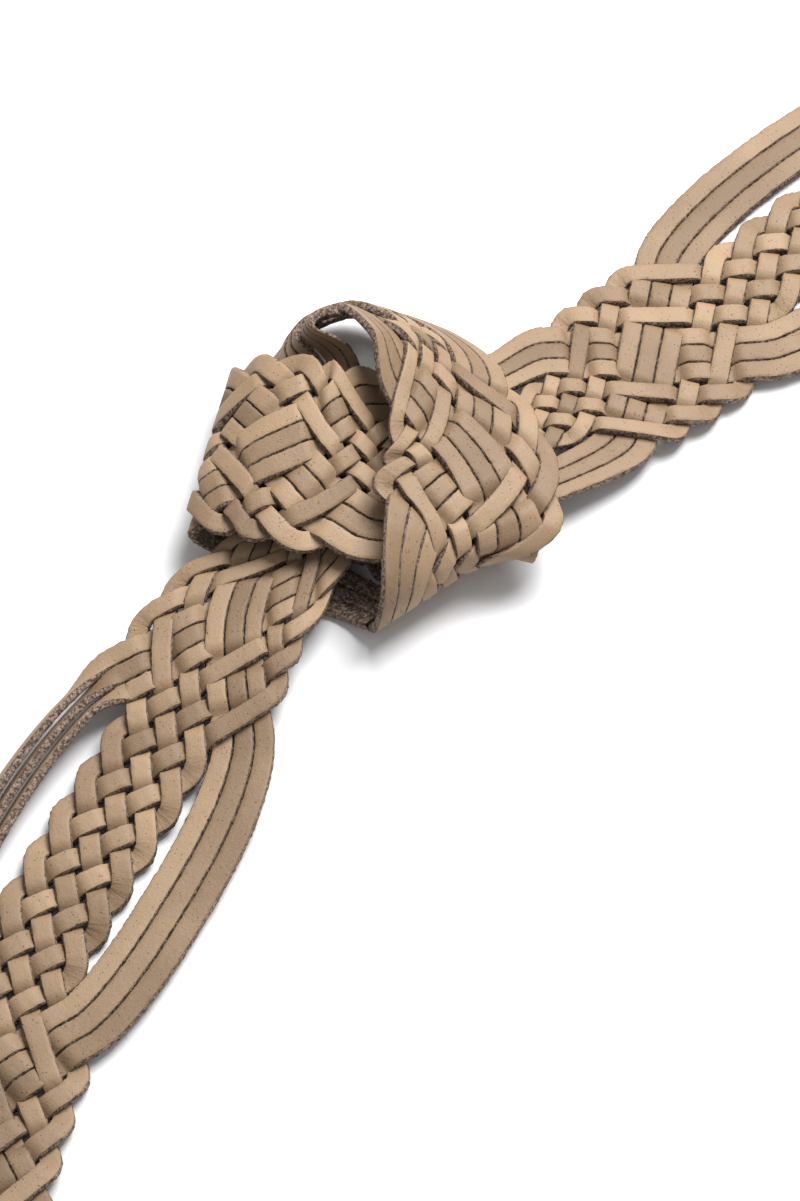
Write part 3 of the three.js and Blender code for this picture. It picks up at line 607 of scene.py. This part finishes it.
# %% The tree that scatters fibres
class Network:
    """A Geometry Nodes tree with named inputs."""

    def __init__(self, name, inputs):
        self.tree = bpy.data.node_groups.new(name, "GeometryNodeTree")
        face = self.tree.interface
        face.new_socket("Geometry", in_out="INPUT", socket_type="NodeSocketGeometry")
        face.new_socket("Geometry", in_out="OUTPUT", socket_type="NodeSocketGeometry")
        for key, kind in inputs.items():
            face.new_socket(key, in_out="INPUT", socket_type="NodeSocket" + kind)
        self.given = self.tree.nodes.new("NodeGroupInput")
        self.result = self.tree.nodes.new("NodeGroupOutput")

    def node(self, kind, settings, inputs, output=0):
        made = self.tree.nodes.new(kind)
        for key, value in settings.items():
            setattr(made, key, value)
        for key, value in inputs.items():
            if isinstance(value, bpy.types.NodeSocket):
                self.tree.links.new(value, made.inputs[key])
            else:
                made.inputs[key].default_value = value
        return made.outputs[output]

    def finish(self, instances):
        """Real meshes with their material, as the tree's result."""
        real = self.node("GeometryNodeRealizeInstances", {}, {"Geometry": instances})
        dress = {"Geometry": real, "Material": self.given.outputs["Material"]}
        dressed = self.node("GeometryNodeSetMaterial", {}, dress)
        self.tree.links.new(dressed, self.result.inputs[0])
        return self.tree


SMALLEST_TUFT = 0.35  # of the tuft's own size
LARGEST_TUFT = 1.25


def fibre_network():
    inputs = {"Density": "Float", "Length": "Float", "Radius": "Float", "Lean": "Float", "Seed": "Int",
              "Material": "Material"}
    net = Network("fibres on cut edges", inputs)
    given = net.given.outputs
    wall = net.node("GeometryNodeInputNamedAttribute", {"data_type": "FLOAT"}, {"Name": "wall"})
    density = net.node("ShaderNodeMath", {"operation": "MULTIPLY"}, {0: wall, 1: given["Density"]})
    scatter = {"Mesh": given["Geometry"], "Density": density, "Seed": given["Seed"]}
    points = net.node("GeometryNodeDistributePointsOnFaces", {}, scatter)
    turned = points.node.outputs["Rotation"]
    cone = {"Vertices": 3, "Radius Top": 0.0, "Radius Bottom": given["Radius"], "Depth": given["Length"]}
    tuft = net.node("GeometryNodeMeshCone", {"fill_type": "NGON"}, cone)
    least = net.node("ShaderNodeMath", {"operation": "MULTIPLY"}, {0: given["Lean"], 1: -1.0})
    lowest = net.node("ShaderNodeCombineXYZ", {}, {key: least for key in "XYZ"})
    highest = net.node("ShaderNodeCombineXYZ", {}, {key: given["Lean"] for key in "XYZ"})
    lean = {0: lowest, 1: highest, "Seed": given["Seed"]}
    tilt = net.node("FunctionNodeRandomValue", {"data_type": "FLOAT_VECTOR"}, lean)
    turning = {"Rotation": turned, "Rotate By": tilt}
    way = net.node("FunctionNodeRotateRotation", {"rotation_space": "LOCAL"}, turning)
    sizes = {2: SMALLEST_TUFT, 3: LARGEST_TUFT, "Seed": given["Seed"]}
    size = net.node("FunctionNodeRandomValue", {"data_type": "FLOAT"}, sizes, 1)
    placed = net.node("GeometryNodeInstanceOnPoints", {},
                      {"Points": points, "Instance": tuft, "Rotation": way, "Scale": size})
    return net.finish(placed)


def grown(name, source, network, inputs):
    """The mesh that a tree makes on a copy of source, with no modifier left on it."""
    carrier = source.copy()
    carrier.data = source.data.copy()
    bpy.context.scene.collection.objects.link(carrier)
    modifier = carrier.modifiers.new(name, "NODES")
    modifier.node_group = network
    for item in network.interface.items_tree:
        if item.in_out == "INPUT" and item.name in inputs:
            modifier[item.identifier] = inputs[item.name]
    evaluated = carrier.evaluated_get(bpy.context.evaluated_depsgraph_get())
    mesh = bpy.data.meshes.new_from_object(evaluated)
    mesh.name = name
    bpy.data.objects.remove(carrier)
    piece = bpy.data.objects.new(name, mesh)
    bpy.context.scene.collection.objects.link(piece)
    return piece


# %% Fibres on every lace
TUFTS = {"Density": 1.6e6, "Length": 0.62 * MM, "Radius": 0.06 * MM, "Lean": 0.75}
FIBRE_DARK = (0.150, 0.105, 0.076)
FIBRE_LIGHT = (0.500, 0.395, 0.310)


def fibre_finish():
    f = Finish("loose fibres", Roughness=0.95, Specular_IOR_Level=0.2)
    shade = f.spread(f.noise(f.place(), 700.0, 2.0), 0.35, 0.65)
    return f.wire(Base_Color=f.mix(shade, FIBRE_DARK, FIBRE_LIGHT))


fibre_network_made = fibre_network()
fibre_material = fibre_finish()
fibres = {}
for seed, (node, piece) in enumerate(laces.items()):
    inputs = {**TUFTS, "Seed": seed, "Material": fibre_material}
    fibres[node] = grown(node + "_fibres", piece, fibre_network_made, inputs)
print("fibres:", sum(len(piece.data.polygons) for piece in fibres.values()), "faces")

# %% [markdown]
# ## The leather ends
# The tip, the chape and the keeper are plain strap leather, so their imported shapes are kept. Each is copied,
# its doubled points are merged, and a fine bevel takes the sharpness off its edges. Faces that look sideways
# are marked as cut, and the material darkens and polishes those.

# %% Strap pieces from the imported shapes
TAB_COVER = 26
TAB_WIDTH = 44
STRAP_WIDTH = 35
TAPER = 12
LACE_ENDS = 2.5
POINT_LENGTH = 24
POINT_BLUNT = 0.12
SHARP = math.radians(32)


def tab_half(d):
    """Half width of the leather at distances d past the braid's end."""
    return (TAB_WIDTH + (STRAP_WIDTH - TAB_WIDTH) * smooth((d - LACE_ENDS) / TAPER)) / 2


def merged(node):
    work = bmesh.new()
    work.from_mesh(frame["nodes"][node].data)
    bmesh.ops.remove_doubles(work, verts=work.verts, dist=1e-6)
    bmesh.ops.dissolve_limit(work, angle_limit=0.02, verts=work.verts, edges=work.edges)
    work.normal_update()
    return work


def strap_piece(node, is_cut, ease):
    """A packed leather piece with its cut faces marked and its edges eased."""
    work = merged(node)
    layer = work.faces.layers.float.new("edge")
    for face in work.faces:
        face.smooth = True
        face[layer] = float(is_cut(face.normal))
    for edge in work.edges:
        edge.smooth = edge.calc_face_angle(0) < SHARP
    mesh = bpy.data.meshes.new(node + "_leather")
    work.to_mesh(mesh)
    work.free()
    piece = bpy.data.objects.new(mesh.name, mesh)
    bpy.context.scene.collection.objects.link(piece)
    rounding = piece.modifiers.new("eased edges", "BEVEL")
    rounding.width = ease * MM
    rounding.segments = 3
    rounding.angle_limit = SHARP
    rounding.harden_normals = True
    return piece


straps = {
    "tip_upper_leather": strap_piece("tip_upper_leather", lambda n: abs(n.z) < 0.6, 0.4),
    "tip_lower_leather": strap_piece("tip_lower_leather", lambda n: abs(n.z) < 0.6, 0.4),
    "chape": strap_piece("chape", lambda n: abs(n.y) > 0.5 or n.x < -0.8, 0.4),
    "keeper": strap_piece("keeper", lambda n: abs(n.x) > 0.5, 0.45),
}
print("strap pieces:", {node: len(piece.data.polygons) for node, piece in straps.items()})

# %% [markdown]
# ## The leather of the ends
# Strap leather is firmer and smoother than lace leather, with the same pores. Its cut edges are burnished, so
# they are darker and shine a little more, and the edge value on the faces tells the material where.

# %% Strap leather
STRAP_LIGHT = (0.345, 0.228, 0.140)
STRAP_DEEP = (0.235, 0.148, 0.086)
BURNISHED = (0.085, 0.048, 0.027)


def strap_leather():
    f = Finish("strap leather", Specular_IOR_Level=0.4)
    place = f.place()
    cells = f.node("ShaderNodeTexVoronoi", {}, {"Vector": place, "Scale": 1300.0}, "Distance")
    pores = f.spread(cells, 0.22, 0.06) * f.spread(f.noise(place, 420.0, 1.0), 0.4, 0.6)
    clouds = f.noise(place, 45.0, 4.0)
    fine = f.noise(place, 2200.0, 3.0)
    tone = f.spread(clouds + (fine - 0.5) * 0.3, 0.3, 0.7)
    cut = f.spread(f.attribute("edge") + (clouds - 0.5) * 0.3, 0.35, 0.65)
    grain = f.mix(tone - pores * 0.6, STRAP_DEEP, STRAP_LIGHT)
    height = pores * -0.6 + fine * 0.4 + f.noise(place, 800.0, 2.0) * 0.6
    return f.wire(Base_Color=f.mix(cut, grain, BURNISHED), Roughness=0.5 - cut * 0.14 + (fine - 0.5) * 0.12,
                  Normal=f.bump(height, 0.00008))


strap_material = strap_leather()
for piece in straps.values():
    piece.data.materials.append(strap_material)

# %% [markdown]
# ## Seams and crease lines
# A saddle stitch runs round the tip and round the leather that grips the braid. Its path is the outline, set
# in by about three millimetres and dropped on the surface by a ray. A second Geometry Nodes tree lays a
# stitch on every step of the path. A heated tool has pressed a thin dark line nearer to the edge, which is a
# fine tube here, mostly sunk in the leather.

# %% Paths on the leather
SEAM_INSET = 3.2
CREASE_INSET = 1.5
STITCH = {"Pitch": 3.4 * MM, "Stitch Length": 2.8 * MM, "Thread": 0.72 * MM}


def outline(distances, half):
    """A closed outline from half widths at distances, as x and distance."""
    return np.vstack([np.stack([half, distances], axis=1), np.stack([-half, distances], axis=1)[::-1]])


def inset(loop, by):
    """A closed loop moved inwards."""
    way = unit(np.roll(loop, -1, axis=0) - np.roll(loop, 1, axis=0))
    inward = np.stack([-way[:, 1], way[:, 0]], axis=1)
    return loop + inward * by


def evened(loop, step):
    """Points at even steps along a closed loop."""
    closed = np.vstack([loop, loop[:1]])
    length = np.concatenate([[0], np.cumsum(np.linalg.norm(np.diff(closed, axis=0), axis=1))])
    at = np.linspace(0, length[-1], round(length[-1] / step), endpoint=False)
    return np.stack([np.interp(at, length, column) for column in closed.T], axis=1)


def dropped(node, loop, start, direction, face, lift):
    """The loop laid on the face of a leather piece, in metres."""
    tree = BVHTree.FromBMesh(merged(node))
    laid = []
    for x, d in loop:
        y = start + direction * d
        above, middle = [Vector(p) for p in to_model(on_belt([[x, y, face * 12], [x, y, 0]]))]
        place, normal, _, _ = tree.ray_cast(above, (middle - above).normalized())
        if place is not None:
            laid.append(place + normal * lift * MM)
    return laid


def fine_tube(name, path, radius, sides=6):
    """A closed tube along a path of places in metres."""
    spine = np.array([tuple(p) for p in path])
    way = unit(np.roll(spine, -1, axis=0) - np.roll(spine, 1, axis=0))
    beside = unit(np.cross(way, [0, 0, 1]))
    above = np.cross(beside, way)
    turn = np.arange(sides) * 2 * math.pi / sides
    points = (spine[:, None] + beside[:, None] * (np.cos(turn) * radius * MM)[None, :, None]
              + above[:, None] * (np.sin(turn) * radius * MM)[None, :, None])
    return mesh_piece(name, points.reshape(-1, 3), loop_faces(len(spine), sides))


def loop_faces(count, sides):
    """Quads of a ring-shaped surface that closes on itself both ways, facing inwards round a crease line."""
    i, k = np.meshgrid(np.arange(count), np.arange(sides), indexing="ij")
    a = (i * sides + k).ravel()
    b = (i * sides + (k + 1) % sides).ravel()
    c = ((i + 1) % count * sides + (k + 1) % sides).ravel()
    d = ((i + 1) % count * sides + k).ravel()
    return np.stack([a, b, c, d], axis=1).tolist()


turn = np.linspace(0, math.pi / 2, 24)
shoulder = TIP_LENGTH - POINT_LENGTH
tip_sides = np.arange(-TAB_COVER, shoulder, 1.0)
tip_distances = np.concatenate([tip_sides, shoulder + POINT_LENGTH * np.sin(turn)])
point_halves = STRAP_WIDTH / 2 * np.maximum(np.cos(turn), POINT_BLUNT)
tip_halves = np.concatenate([tab_half(tip_sides), point_halves])
tip_outline = evened(outline(tip_distances, tip_halves), 1.0)
grip = np.arange(-TAB_COVER, LACE_ENDS + TAPER - 1.5, 1.0)
grip_outline = evened(outline(grip, tab_half(grip)), 1.0)

seams = {
    "tip_seam": dropped("tip_upper_leather", inset(tip_outline, SEAM_INSET), braid_from, -1, 1, 0.08),
    "tip_seam_below": dropped("tip_lower_leather", inset(tip_outline, SEAM_INSET), braid_from, -1, -1, -0.16),
    "grip_seam": dropped("chape", inset(grip_outline, SEAM_INSET), braid_to, 1, 1, 0.08),
    "grip_seam_below": dropped("chape", inset(grip_outline, SEAM_INSET), braid_to, 1, -1, -0.16),
}
creases = {
    "tip_crease": fine_tube("tip_crease", dropped("tip_upper_leather", inset(tip_outline, CREASE_INSET),
                                                  braid_from, -1, 1, -0.1), 0.22),
    "grip_crease": fine_tube("grip_crease", dropped("chape", inset(grip_outline, CREASE_INSET),
                                                    braid_to, 1, 1, -0.1), 0.22),
}
print("seam points:", {name: len(path) for name, path in seams.items()})

# %% The tree that lays stitches
def stitch_network():
    inputs = {"Pitch": "Float", "Stitch Length": "Float", "Thread": "Float", "Material": "Material"}
    net = Network("stitches", inputs)
    given = net.given.outputs
    curve = net.node("GeometryNodeMeshToCurve", {}, {"Mesh": given["Geometry"]})
    steps = {"Curve": curve, "Length": given["Pitch"]}
    points = net.node("GeometryNodeCurveToPoints", {"mode": "LENGTH"}, steps)
    tangent = points.node.outputs["Tangent"]
    way = net.node("FunctionNodeAlignRotationToVector", {"axis": "X"}, {"Vector": tangent})
    ball = net.node("GeometryNodeMeshUVSphere", {}, {"Segments": 8, "Rings": 6, "Radius": 0.5})
    sizes = {"X": given["Stitch Length"], "Y": given["Thread"], "Z": given["Thread"]}
    size = net.node("ShaderNodeCombineXYZ", {}, sizes)
    stitch = net.node("GeometryNodeTransform", {}, {"Geometry": ball, "Scale": size})
    placing = {"Points": points, "Instance": stitch, "Rotation": way}
    return net.finish(net.node("GeometryNodeInstanceOnPoints", {}, placing))


def path_mesh(name, path):
    mesh = bpy.data.meshes.new(name)
    edges = [(i, (i + 1) % len(path)) for i in range(len(path))]
    mesh.from_pydata([tuple(p) for p in path], edges, [])
    path_object = bpy.data.objects.new(name, mesh)
    bpy.context.scene.collection.objects.link(path_object)
    return path_object


thread = Finish("waxed thread", Roughness=0.55)
thread_shade = thread.noise(thread.place(), 1600.0, 2.0)
thread_material = thread.wire(Base_Color=thread.mix(thread_shade, (0.42, 0.33, 0.22), (0.66, 0.56, 0.42)))
crease_finish = Finish("pressed line", Roughness=0.4, Base_Color=(0.07, 0.04, 0.022, 1))
for piece in creases.values():
    piece.data.materials.append(crease_finish.material)
stitches = stitch_network()
stitched = {}
for name, path in seams.items():
    bare = path_mesh(name + "_path", path)
    stitched[name] = grown(name, bare, stitches, {**STITCH, "Material": thread_material})
    bpy.data.objects.remove(bare)
print("stitches:", {name: len(piece.data.polygons) for name, piece in stitched.items()})

# %% [markdown]
# ## The buckle
# The frame is one bar of brass bent into a ring and brazed, so it is a rounded section swept round a closed
# path. The section is flat along the rails and round along the bar, which the chape and the prong turn on.
# The prong is a flat strip that is curled round the bar at one end and rests on the frame's front at the
# other.

# %% Sizes and sections of the buckle
BAR_DIAMETER = 4
FRAME_LENGTH = 42
FRAME_THICKNESS = 4
FRAME_RAIL = 5
FRAME_HALF = 21.5  # from the middle of the bar to the middle of a rail
FRAME_BEND = 5
PRONG_WIDTH = 4.4
EYE_RADIUS = 3.2
LIFT = 0.15

front_rests = math.asin((END_HEIGHT - FRAME_THICKNESS / 2 - LIFT) / FRAME_LENGTH)
buckle_axes = np.array([(0, -1, 0), (math.cos(front_rests), 0, -math.sin(front_rests)),
                        (math.sin(front_rests), 0, math.cos(front_rests))])


def on_buckle(points):
    """Points with x along the bar, y to the front and z up, in the model."""
    return np.array(hinge["pos_m"]) + np.asarray(points) @ buckle_axes * MM


def section(width, height, squareness, sides=20):
    """A rounded section: an ellipse at squareness 2, and nearly a rectangle at 6."""
    turn = np.arange(sides) * 2 * math.pi / sides
    power = 2 / squareness
    return np.stack([width / 2 * np.sign(np.cos(turn)) * np.abs(np.cos(turn)) ** power,
                     height / 2 * np.sign(np.sin(turn)) * np.abs(np.sin(turn)) ** power], axis=1)


def ring_path(half, front, bend):
    """A closed rectangle with round corners, from the bar at y 0 to the front."""
    corners = [(half - bend, bend, -90), (half - bend, front - bend, 0), (bend - half, front - bend, 90),
               (bend - half, bend, 180)]
    path = []
    for x, y, begin in corners:
        for angle in np.radians(np.linspace(begin, begin + 90, 10)):
            path.append((x + bend * math.cos(angle), y + bend * math.sin(angle)))
    return evened(np.array(path), 1.2)


def outwards(piece):
    work = bmesh.new()
    work.from_mesh(piece.data)
    bmesh.ops.recalc_face_normals(work, faces=work.faces)
    work.to_mesh(piece.data)
    work.free()
    return piece


# %% The frame
def make_frame():
    path = ring_path(FRAME_HALF, FRAME_LENGTH - FRAME_RAIL / 2, FRAME_BEND)
    way = unit(np.roll(path, -1, axis=0) - np.roll(path, 1, axis=0))
    rings = []
    for (x, y), (along_x, along_y) in zip(path, way):
        flat = smooth(y / FRAME_BEND)
        width = BAR_DIAMETER + (FRAME_RAIL - BAR_DIAMETER) * flat
        for u, v in section(width, FRAME_THICKNESS, 2 + 1.6 * flat):
            rings.append((x + along_y * u, y - along_x * u, v))
    return outwards(mesh_piece("buckle_frame_brass", on_buckle(rings), loop_faces(len(path), 20)))


# %% [markdown]
# ## The prong
# The strip starts under the blade, goes once round the bar and leaves over the top. Its middle line is an arc
# and then a few chosen places, and it narrows and thins towards the tip.

# %% The prong
BLADE = np.array([(0, 3.2), (2.5, 3.05), (6, 2.0), (10, 1.35), (15, 1.45), (22, 2.1), (30, 2.85), (37, 3.5),
                  (40.5, 3.75), (43, 3.6)])  # the middle of the blade, as y and height


def make_prong():
    curl = np.radians(np.linspace(-38, -270, 40))
    eye = [(EYE_RADIUS * math.cos(a), EYE_RADIUS * math.sin(a)) for a in curl]
    y = np.linspace(0.5, BLADE[-1, 0], 60)
    blade = np.stack([y, np.interp(y, BLADE[:, 0], BLADE[:, 1])], axis=1)
    blade[1:-1, 1] = np.convolve(blade[:, 1], [0.25, 0.5, 0.25], "valid")
    path = np.vstack([eye, blade])
    way = unit(np.gradient(path, axis=0))
    rings = []
    for (y, z), (along_y, along_z) in zip(path, way):
        tip = smooth((y - 24) / 19)
        end = math.sqrt(max(1 - max((y - 41.4) / 1.7, 0) ** 2, 0.05))
        width = (PRONG_WIDTH - 0.9 * tip) * end
        for u, v in section(width, (1.8 + 0.5 * smooth((y - 4) / 8) - 0.5 * tip) * end, 4):
            rings.append((u, y - along_z * v, z + along_y * v))
    return outwards(mesh_piece("buckle_prong_brass", on_buckle(rings), ring_faces(len(path), 20)))


# %% [markdown]
# ## The rivets
# Each rivet has a low dome on both faces of the chape and a shank between them. One half of its profile is a
# list of radii and heights, which is mirrored and turned round the rivet's axis.

# %% Two rivets
RIVET_PROFILE = [(0.9, 3.22), (1.8, 3.1), (2.6, 2.88), (3.3, 2.55), (3.8, 2.2), (3.92, 2.0), (3.8, 1.96),
                 (2, 1.96)]


def make_rivet(node):
    low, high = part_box(node)
    middle = np.array((low + high) / 2)
    profile = RIVET_PROFILE + [(r, -z) for r, z in RIVET_PROFILE[::-1]]
    turn = np.arange(32) * 2 * math.pi / 32
    rings = [(r * math.cos(a), r * math.sin(a), z) for r, z in profile for a in turn]
    return outwards(mesh_piece(node + "_brass", middle + np.array(rings) * MM, ring_faces(len(profile), 32)))


metals = {"buckle_frame": make_frame(), "buckle_prong": make_prong(),
          "chape_rivet_1": make_rivet("chape_rivet_1"), "chape_rivet_2": make_rivet("chape_rivet_2")}
print("metal pieces:", {node: len(piece.data.polygons) for node, piece in metals.items()})


# %% [markdown]
# ## Brass
# Brass that is handled stays bright where it is rubbed and turns dull elsewhere. One noise mixes the two
# colours and roughens the dull places, and a much finer one gives the surface its faint grain.

# %% Brass
BRIGHT = (0.66, 0.50, 0.27)
DULL = (0.42, 0.30, 0.15)


def brass():
    f = Finish("brass", Metallic=1.0)
    place = f.place()
    dull = f.spread(f.noise(place, 160.0, 4.0, 0.7), 0.4, 0.75)
    rubbed = f.noise(place, 3200.0, 2.0)
    return f.wire(Base_Color=f.mix(dull, BRIGHT, DULL),
                  Roughness=0.24 + dull * 0.2 + (rubbed - 0.5) * 0.1, Normal=f.bump(rubbed, 0.00003, 0.5))


brass_material = brass()
for piece in metals.values():
    piece.data.materials.append(brass_material)

# %% [markdown]
# ## Floor, light and camera
# The belt lies on a plain pale floor under one large soft lamp, with an even light all round it, and is seen
# from above at a steep angle.

# %% The stage
VIEW_HEIGHT = 0.2572
VIEW_ELEVATION = math.radians(62)
VIEW_DISTANCE = 0.75
AIM_RIGHT = 0.0043  # of the route's own origin
AIM_DOWN = 0.0301
LAMP_PLACE = Vector((0.22, 0.30, 0.62))  # from the knot
LAMP_SIZE = 0.42
LAMP_ENERGY = 9.5
SKY_STRENGTH = 0.41


def add_stage():
    bpy.ops.mesh.primitive_plane_add(size=6, location=(0, 0, 0))
    floor = bpy.context.object
    floor.name = "floor"
    pale = Finish("floor", Roughness=0.9, Specular_IOR_Level=0.1, Base_Color=(0.86, 0.86, 0.87, 1))
    floor.data.materials.append(pale.material)
    world = bpy.data.worlds.new("studio")
    bpy.context.scene.world = world
    world.use_nodes = True
    world.node_tree.nodes["Background"].inputs["Color"].default_value = (1, 1, 1, 1)
    world.node_tree.nodes["Background"].inputs["Strength"].default_value = SKY_STRENGTH


def add_lamp(name, place, aim, size, energy):
    lamp = bpy.data.lights.new(name, "AREA")
    lamp.size = size
    lamp.energy = energy
    holder = bpy.data.objects.new(name, lamp)
    holder.location = place
    holder.rotation_euler = (Vector(aim) - Vector(place)).to_track_quat("-Z", "Y").to_euler()
    bpy.context.scene.collection.objects.link(holder)


def add_camera(about):
    back = Vector((0, -math.cos(VIEW_ELEVATION), math.sin(VIEW_ELEVATION)))
    turn = (-back).to_track_quat("-Z", "Y")
    aim = about + turn @ Vector((AIM_RIGHT, -AIM_DOWN, 0))
    camera = bpy.data.cameras.new("camera")
    camera.sensor_width = 36
    camera.lens = camera.sensor_width * VIEW_DISTANCE / VIEW_HEIGHT
    holder = bpy.data.objects.new("camera", camera)
    holder.location = aim + back * VIEW_DISTANCE
    holder.rotation_euler = turn.to_euler()
    bpy.context.scene.collection.objects.link(holder)
    bpy.context.scene.camera = holder


knot = Vector(to_model([0, 0, 0]))
add_stage()
add_lamp("soft lamp", knot + LAMP_PLACE, knot, LAMP_SIZE, LAMP_ENERGY)
add_camera(knot)
bpy.context.scene.view_settings.view_transform = "Standard"

# %% [markdown]
# ## Handing over
# Each piece is attached to the body that it moves with, and the imported piece that it stands for is hidden.
# Fibres, stitches and crease lines stand for no piece of their own, so they only ride along.

# %% Hand the pieces over
METAL_BODIES = {"buckle_frame": "frame", "buckle_prong": "prong",
                "chape_rivet_1": "belt", "chape_rivet_2": "belt"}
for node, piece in laces.items():
    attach(piece, "belt")
    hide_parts(node)
for piece in fibres.values():
    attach(piece, "belt")
for node, piece in straps.items():
    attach(piece, "belt")
    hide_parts(node)
for piece in list(creases.values()) + list(stitched.values()):
    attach(piece, "belt")
for node, piece in metals.items():
    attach(piece, METAL_BODIES[node])
    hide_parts(node)
